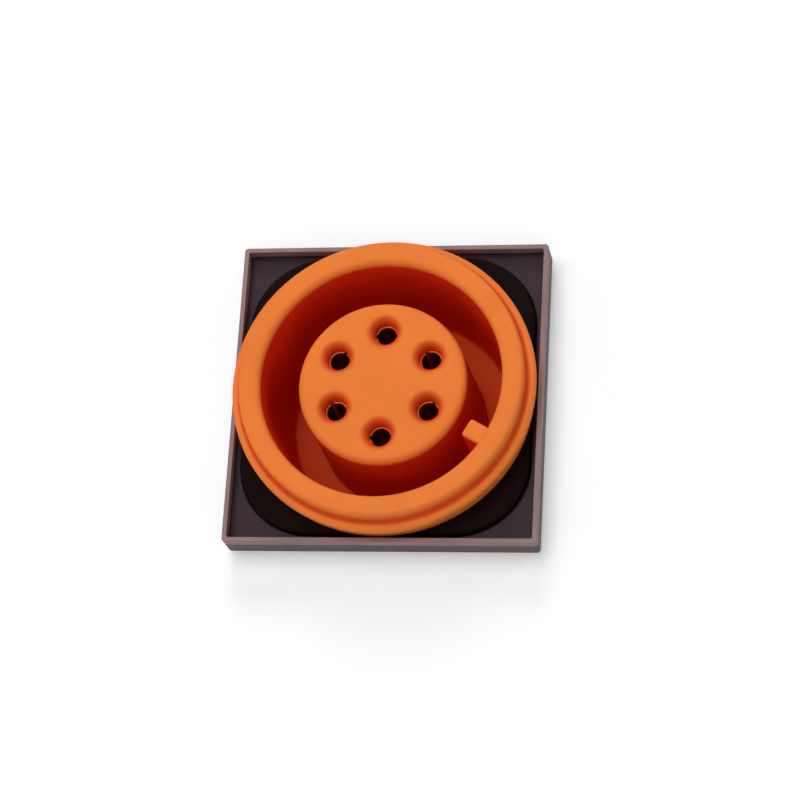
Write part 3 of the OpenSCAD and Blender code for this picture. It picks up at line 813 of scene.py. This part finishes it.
def bore_cutter(radius, slot_half=0.0, slot_end=0.0):
    """Cutter for the hole that the shell goes through, with the slot for its rib where one is."""
    half_length = 6 * MM
    gap = math.asin(slot_half / radius)
    cutter = bmesh.new()
    first = cutter.verts.new((radius * math.cos(gap), slot_half, -half_length))
    bmesh.ops.spin(
        cutter, geom=[first], cent=(0, 0, 0), axis=(0, 0, 1), angle=math.tau - 2 * gap,
        steps=160, use_merge=not gap)
    if gap:
        cutter.verts.ensure_lookup_table()
        corners = [
            cutter.verts[-1],
            cutter.verts.new((slot_end, -slot_half, -half_length)),
            cutter.verts.new((slot_end, slot_half, -half_length)),
            first]
        for pair in zip(corners, corners[1:]):
            cutter.edges.new(pair)
    outline = bmesh.ops.edgeloop_fill(cutter, edges=cutter.edges)["faces"]
    raised = bmesh.ops.extrude_face_region(cutter, geom=outline)["geom"]
    bmesh.ops.translate(
        cutter, vec=(0, 0, 2 * half_length),
        verts=[v for v in raised if isinstance(v, bmesh.types.BMVert)])
    bmesh.ops.rotate(
        cutter, cent=(0, 0, 0), matrix=Matrix.Rotation(RIB_TURN, 3, "Z"), verts=cutter.verts)
    return cutter


class CONNECTOR_OT_bezel(bpy.types.Operator):
    """Builds the charcoal bezel plate with its lip, and the two rubber gaskets"""

    bl_idname = "connector.bezel"
    bl_label = "Bezel plate and gaskets"

    def execute(self, context):
        sizes = context.scene.connector_sizes
        field, above = LIP - sizes.lip_height, LIP + MM
        gasket_room, gasket_squeeze = 0.05 * MM, 0.06 * MM
        slot = (
            sizes.rib_width / 2 + sizes.rib_room,
            sizes.crest_r + sizes.rib_height + sizes.rib_room)
        plate, pocket, seat = bmesh.new(), bmesh.new(), bmesh.new()
        add_prism(plate, PLATE_HALF, sizes.plate_corner, PLATE_BACK, LIP)
        add_prism(pocket, PLATE_HALF - sizes.lip_width, 0.15 * MM, field, above, segments=3)
        add_prism(
            seat, GASKET_HALF + gasket_room, sizes.gasket_corner + gasket_room, SEAT, above,
            segments=24)
        for cutter in (pocket, seat, bore_cutter(sizes.bore_r, *slot)):
            plate = carved(plate, cutter)
        finished(
            plate, "bezel_moulding", charcoal_polycarbonate(), "bezel_plate", "bezel_plastic",
            bevel_mm=0.19, segments=4)

        for node, half, corner, levels, bevel_mm, opening in (
            ("front_gasket", GASKET_HALF, sizes.gasket_corner, (SEAT, FLANGE_BACK), 0.3, slot),
            ("panel_gasket", PANEL_GASKET_HALF, sizes.plate_corner, (PANEL_PLANE, PLATE_BACK),
             0.12, ()),
        ):
            sheet = bmesh.new()
            add_prism(sheet, half, corner, *levels, segments=24)
            sheet = carved(sheet, bore_cutter(sizes.bore_r - gasket_squeeze, *opening))
            finished(
                sheet, f"{node}_sheet", black_nitrile(), node, "gasket_rubber",
                bevel_mm=bevel_mm, segments=4)
        return {"FINISHED"}


class CONNECTOR_OT_contacts(bpy.types.Operator):
    """Builds the six slotted socket contacts and dresses the clips that hold them"""

    bl_idname = "connector.contacts"
    bl_label = "Contacts and clips"

    def execute(self, context):
        sizes = context.scene.connector_sizes
        wall = sizes.contact_r - sizes.socket_r
        socket_floor = CONTACT_FRONT - sizes.socket_depth
        crimp_floor = CONTACT_BACK + sizes.crimp_depth
        shoulder = CLIP_FRONT + 0.03 * MM
        waist_r = sizes.contact_r - 0.1 * MM
        waist_back, crimp_front = shoulder - 2.3 * MM, shoulder - 2.7 * MM
        bar = bmesh.new()
        add_turned(bar, [
            (0.0, socket_floor - 0.4 * MM, 0.0),
            (sizes.socket_r, socket_floor, 0.0),
            (sizes.socket_r, CONTACT_FRONT, 0.28 * wall),
            (sizes.contact_r, CONTACT_FRONT, 0.3 * wall),
            (sizes.contact_r, INSERT_BACK, 0.0),
            (SHOULDER_R, INSERT_BACK, 0.06 * MM),
            (SHOULDER_R, shoulder, 0.06 * MM),
            (waist_r, shoulder, 0.0),
            (waist_r, waist_back, 0.0),
            (sizes.crimp_r, crimp_front, 0.0),
            (sizes.crimp_r, CONTACT_BACK, 0.1 * MM),
            (sizes.crimp_bore_r, CONTACT_BACK, 0.22 * MM),
            (sizes.crimp_bore_r, crimp_floor, 0.0),
            (0.0, crimp_floor + 0.45 * MM, 0.0),
        ], steps=64)
        slot, window = bmesh.new(), bmesh.new()
        add_box(
            slot, (-sizes.slot_width / 2, -2 * MM, CONTACT_FRONT - sizes.slot_length),
            (sizes.slot_width / 2, 2 * MM, CONTACT_FRONT + MM))
        bmesh.ops.create_cone(
            window, cap_ends=True, segments=24, radius1=sizes.window_r, radius2=sizes.window_r,
            depth=4 * MM,
            matrix=Matrix.Translation((2 * MM, 0, crimp_floor - 2 * sizes.window_r))
            @ Matrix.Rotation(math.pi / 2, 4, "Y"))
        one = mesh_of(carved(carved(bar, slot), window), "contact")
        for index in range(1, CONTACT_COUNT + 1):
            bm = bmesh.new()
            bm.from_mesh(one)
            bmesh.ops.transform(bm, matrix=place_on_circle(index), verts=bm.verts)
            finished(
                bm, f"socket_contact_{index}", gold_plate(), f"contact_{index}", "contact_gold")
            dress_node(f"contact_clip_{index}", beryllium_copper())
        bpy.data.meshes.remove(one)
        return {"FINISHED"}


class CONNECTOR_OT_fastening(bpy.types.Operator):
    """Builds the jam nut and the toothed lock washer behind the panel"""

    bl_idname = "connector.fastening"
    bl_label = "Nut and washer"

    def execute(self, context):
        sizes = context.scene.connector_sizes
        nut = bmesh.new()
        bmesh.ops.create_cone(
            nut, cap_ends=True, segments=6, radius1=NUT_CORNER_R, radius2=NUT_CORNER_R,
            depth=NUT_FRONT - NUT_BACK,
            matrix=Matrix.Translation((0, 0, (NUT_FRONT + NUT_BACK) / 2))
            @ Matrix.Rotation(math.radians(30), 4, "Z"))
        face_r = NUT_HALF - sizes.nut_chamfer
        drop = (NUT_CORNER_R - face_r) * math.tan(math.radians(30))
        # The chamfer runs on past the nut's corners
        past_r, past_drop = NUT_CORNER_R + 0.5 * MM, drop + 0.29 * MM
        rounded = bmesh.new()
        add_turned(rounded, [
            (0.0, NUT_BACK, 0.0),
            (face_r, NUT_BACK, 0.0),
            (past_r, NUT_BACK + past_drop, 0.0),
            (past_r, NUT_FRONT - past_drop, 0.0),
            (face_r, NUT_FRONT, 0.0),
            (0.0, NUT_FRONT, 0.0),
        ], steps=180)
        bore = bmesh.new()
        bore_r, lead = sizes.nut_bore_r, sizes.nut_lead
        add_turned(bore, [
            (0.0, NUT_BACK - MM, 0.0),
            (bore_r + lead + MM, NUT_BACK - MM, 0.0),
            (bore_r, NUT_BACK + lead, 0.0),
            (bore_r, NUT_FRONT - lead, 0.0),
            (bore_r + lead + MM, NUT_FRONT + MM, 0.0),
            (0.0, NUT_FRONT + MM, 0.0),
        ], steps=160)
        nut = carved(carved(nut, rounded, "INTERSECT"), bore)
        finished(
            nut, "jam_nut_machined", nickel_plate(), "jam_nut", "nut_nickel", bevel_mm=0.12,
            crease=20.0)

        height = WASHER_FRONT - WASHER_BACK
        sheet = sizes.washer_sheet
        middle = (WASHER_FRONT + WASHER_BACK) / 2
        ring_out = sizes.bore_r + sizes.washer_band
        tooth_in, tooth_out = ring_out - 0.4 * MM, WASHER_R - 0.004 * MM
        width = math.pi * ring_out / sizes.tooth_count
        # A tooth twists until its corners reach the washer's height
        twist = math.asin(height / math.hypot(width, sheet)) - math.atan(sheet / width)
        washer = bmesh.new()
        add_turned(washer, [
            (r, middle + side * sheet / 2, 0.05 * MM)
            for r, side in (
                (sizes.bore_r, -1), (ring_out, -1), (ring_out, 1), (sizes.bore_r, 1))
        ], steps=160)
        for tooth in range(sizes.tooth_count):
            verts = add_box(
                washer, (tooth_in, -width / 2, -sheet / 2), (tooth_out, width / 2, sheet / 2))
            bmesh.ops.transform(
                washer, verts=verts,
                matrix=Matrix.Rotation(math.tau * tooth / sizes.tooth_count, 4, "Z")
                @ Matrix.Translation((0, 0, middle)) @ Matrix.Rotation(twist, 4, "X"))
        finished(washer, "lock_washer_blank", spring_steel(), "lock_washer", "spring_steel")
        return {"FINISHED"}


def background_rays(tree):
    """One for the rays that see the background: the camera's, reflections and what glass shows."""
    path = add_node(tree, "ShaderNodeLightPath").outputs
    seen = path["Is Camera Ray"]
    for ray in ("Is Glossy Ray", "Is Transmission Ray"):
        either = add_node(
            tree, "ShaderNodeMath", links={0: seen, 1: path[ray]}, operation="MAXIMUM")
        seen = either.outputs[0]
    return seen


class CONNECTOR_OT_stage(bpy.types.Operator):
    """Adds the pale panel and floor, the lamps, the world and the camera"""

    bl_idname = "connector.stage"
    bl_label = "Studio stage"

    def pale_board(self, name, glow):
        """Matt white board. A faint glow for the camera alone keeps it white round the shadow."""
        material, tree, output = new_material(name)
        if tree is None:
            return material
        strength = add_node(
            tree, "ShaderNodeMath", {1: glow}, {0: background_rays(tree)}, operation="MULTIPLY")
        place = add_node(tree, "ShaderNodeTexCoord")
        fibre = add_node(
            tree, "ShaderNodeTexNoise", {"Scale": 1 / (0.6 * MM), "Detail": 3.0},
            {"Vector": place.outputs["Object"]})
        relief = add_node(
            tree, "ShaderNodeBump", {"Strength": 0.1, "Distance": 0.02 * MM},
            {"Height": fibre.outputs["Fac"]})
        board = add_node(
            tree, "ShaderNodeBsdfDiffuse", {"Color": (0.82, 0.82, 0.82, 1.0)},
            {"Normal": relief.outputs["Normal"]})
        light = add_node(tree, "ShaderNodeEmission", links={"Strength": strength.outputs[0]})
        both = add_node(
            tree, "ShaderNodeAddShader", links={0: board.outputs[0], 1: light.outputs[0]})
        tree.links.new(both.outputs[0], output.inputs["Surface"])
        return material

    def add_board(self):
        """The panel that the connector is clamped on, with its cut-out."""
        board, cutout = bmesh.new(), bmesh.new()
        add_block(board, PANEL_SIZE, PANEL_CENTRE)
        bmesh.ops.create_cone(
            cutout, cap_ends=True, segments=128, radius1=CUTOUT_R, radius2=CUTOUT_R,
            depth=8 * PANEL_SIZE[1], matrix=Matrix.Rotation(math.pi / 2, 4, "X"))
        mesh = mesh_of(carved(board, cutout), "panel_board")
        mesh.materials.append(self.pale_board("painted_panel_white", PANEL_GLOW))
        return linked("panel_board", mesh)

    def add_floor(self):
        """A wide pale floor under the panel."""
        bm = bmesh.new()
        bmesh.ops.create_grid(
            bm, x_segments=2, y_segments=2, size=FLOOR_HALF,
            matrix=Matrix.Translation((0, 0, FLOOR_LEVEL)))
        mesh = mesh_of(bm, "floor")
        mesh.materials.append(self.pale_board("studio_floor_white", FLOOR_GLOW))
        return linked("floor", mesh)

    def add_lamp(self, name, turn, off_axis, width, power):
        """A square soft box that faces the connector, as LAMPS says."""
        turn, off_axis = math.radians(turn), math.radians(off_axis)
        data = bpy.data.lights.new(name, "AREA")
        data.shape = "SQUARE"
        data.size = width
        data.energy = power
        lamp = linked(name, data)
        lamp.location = LAMP_DISTANCE * Vector((
            math.sin(off_axis) * math.cos(turn), -math.cos(off_axis),
            math.sin(off_axis) * math.sin(turn)))
        lamp.rotation_mode = "QUATERNION"
        lamp.rotation_quaternion = lamp.location.to_track_quat("Z", "Y")

    def add_world(self):
        """Even pale light, seen as white by the camera and in reflections."""
        world = bpy.data.worlds.new("studio_world")
        bpy.context.scene.world = world
        world.use_nodes = True
        tree = world.node_tree
        tree.nodes.clear()
        level = add_node(
            tree, "ShaderNodeMapRange", {"To Min": WORLD_LIGHT, "To Max": 1.0},
            {"Value": background_rays(tree)})
        sky = add_node(
            tree, "ShaderNodeBackground", {"Color": (1.0, 1.0, 1.0, 1.0)},
            {"Strength": level.outputs["Result"]})
        output = tree.nodes.new("ShaderNodeOutputWorld")
        tree.links.new(sky.outputs[0], output.inputs["Surface"])

    def add_camera(self):
        """The photograph's view: from below and from the right, rolled a little."""
        back = Vector((
            math.sin(AZIMUTH) * math.cos(ELEVATION), -math.cos(AZIMUTH) * math.cos(ELEVATION),
            math.sin(ELEVATION)))
        level = Vector((math.cos(AZIMUTH), math.sin(AZIMUTH), 0.0))
        upright = back.cross(level)
        right = math.cos(ROLL) * level + math.sin(ROLL) * upright
        up = math.cos(ROLL) * upright - math.sin(ROLL) * level
        data = bpy.data.cameras.new("camera")
        data.sensor_width = SENSOR_MM
        data.lens = SENSOR_MM / 2 / math.tan(FIELD_OF_VIEW / 2)
        data.clip_start = 0.01
        camera = linked("camera", data)
        camera.matrix_world = Matrix.Translation(
            CAMERA_TARGET + back * CAMERA_DISTANCE) @ Matrix(
            (right, up, back)).transposed().to_4x4()
        bpy.context.scene.camera = camera

    def execute(self, context):
        self.add_board()
        self.add_floor()
        for lamp in LAMPS:
            self.add_lamp(*lamp)
        self.add_world()
        self.add_camera()
        context.scene.view_settings.view_transform = "Standard"
        return {"FINISHED"}


class CONNECTOR_PT_pieces(bpy.types.Panel):
    """Lists the connector's pieces and their sizes and colours"""

    bl_idname = "CONNECTOR_PT_pieces"
    bl_label = "Panel Connector"
    bl_space_type = "VIEW_3D"
    bl_region_type = "UI"
    bl_category = "Connector"

    def draw(self, context):
        column = self.layout.column(align=True)
        for operator in OPERATORS:
            column.operator(operator.bl_idname)
        for settings in (context.scene.connector_sizes, context.scene.connector_colours):
            column = self.layout.column(align=True)
            for name in settings.bl_rna.properties.keys():
                if name not in {"rna_type", "name"}:
                    column.prop(settings, name)


OPERATORS = (
    CONNECTOR_OT_shell, CONNECTOR_OT_insert, CONNECTOR_OT_bezel, CONNECTOR_OT_contacts,
    CONNECTOR_OT_fastening, CONNECTOR_OT_stage,
)
CLASSES = (ConnectorSizes, ConnectorColours, *OPERATORS, CONNECTOR_PT_pieces)


def register():
    for item in CLASSES:
        bpy.utils.register_class(item)
    bpy.types.Scene.connector_sizes = PointerProperty(type=ConnectorSizes)
    bpy.types.Scene.connector_colours = PointerProperty(type=ConnectorColours)


def unregister():
    del bpy.types.Scene.connector_colours
    del bpy.types.Scene.connector_sizes
    for item in reversed(CLASSES):
        bpy.utils.unregister_class(item)


def main():
    register()
    bpy.ops.connector.shell()
    bpy.ops.connector.insert()
    bpy.ops.connector.bezel()
    bpy.ops.connector.contacts()
    bpy.ops.connector.fastening()
    bpy.ops.connector.stage()


if __name__ == "__main__":
    main()
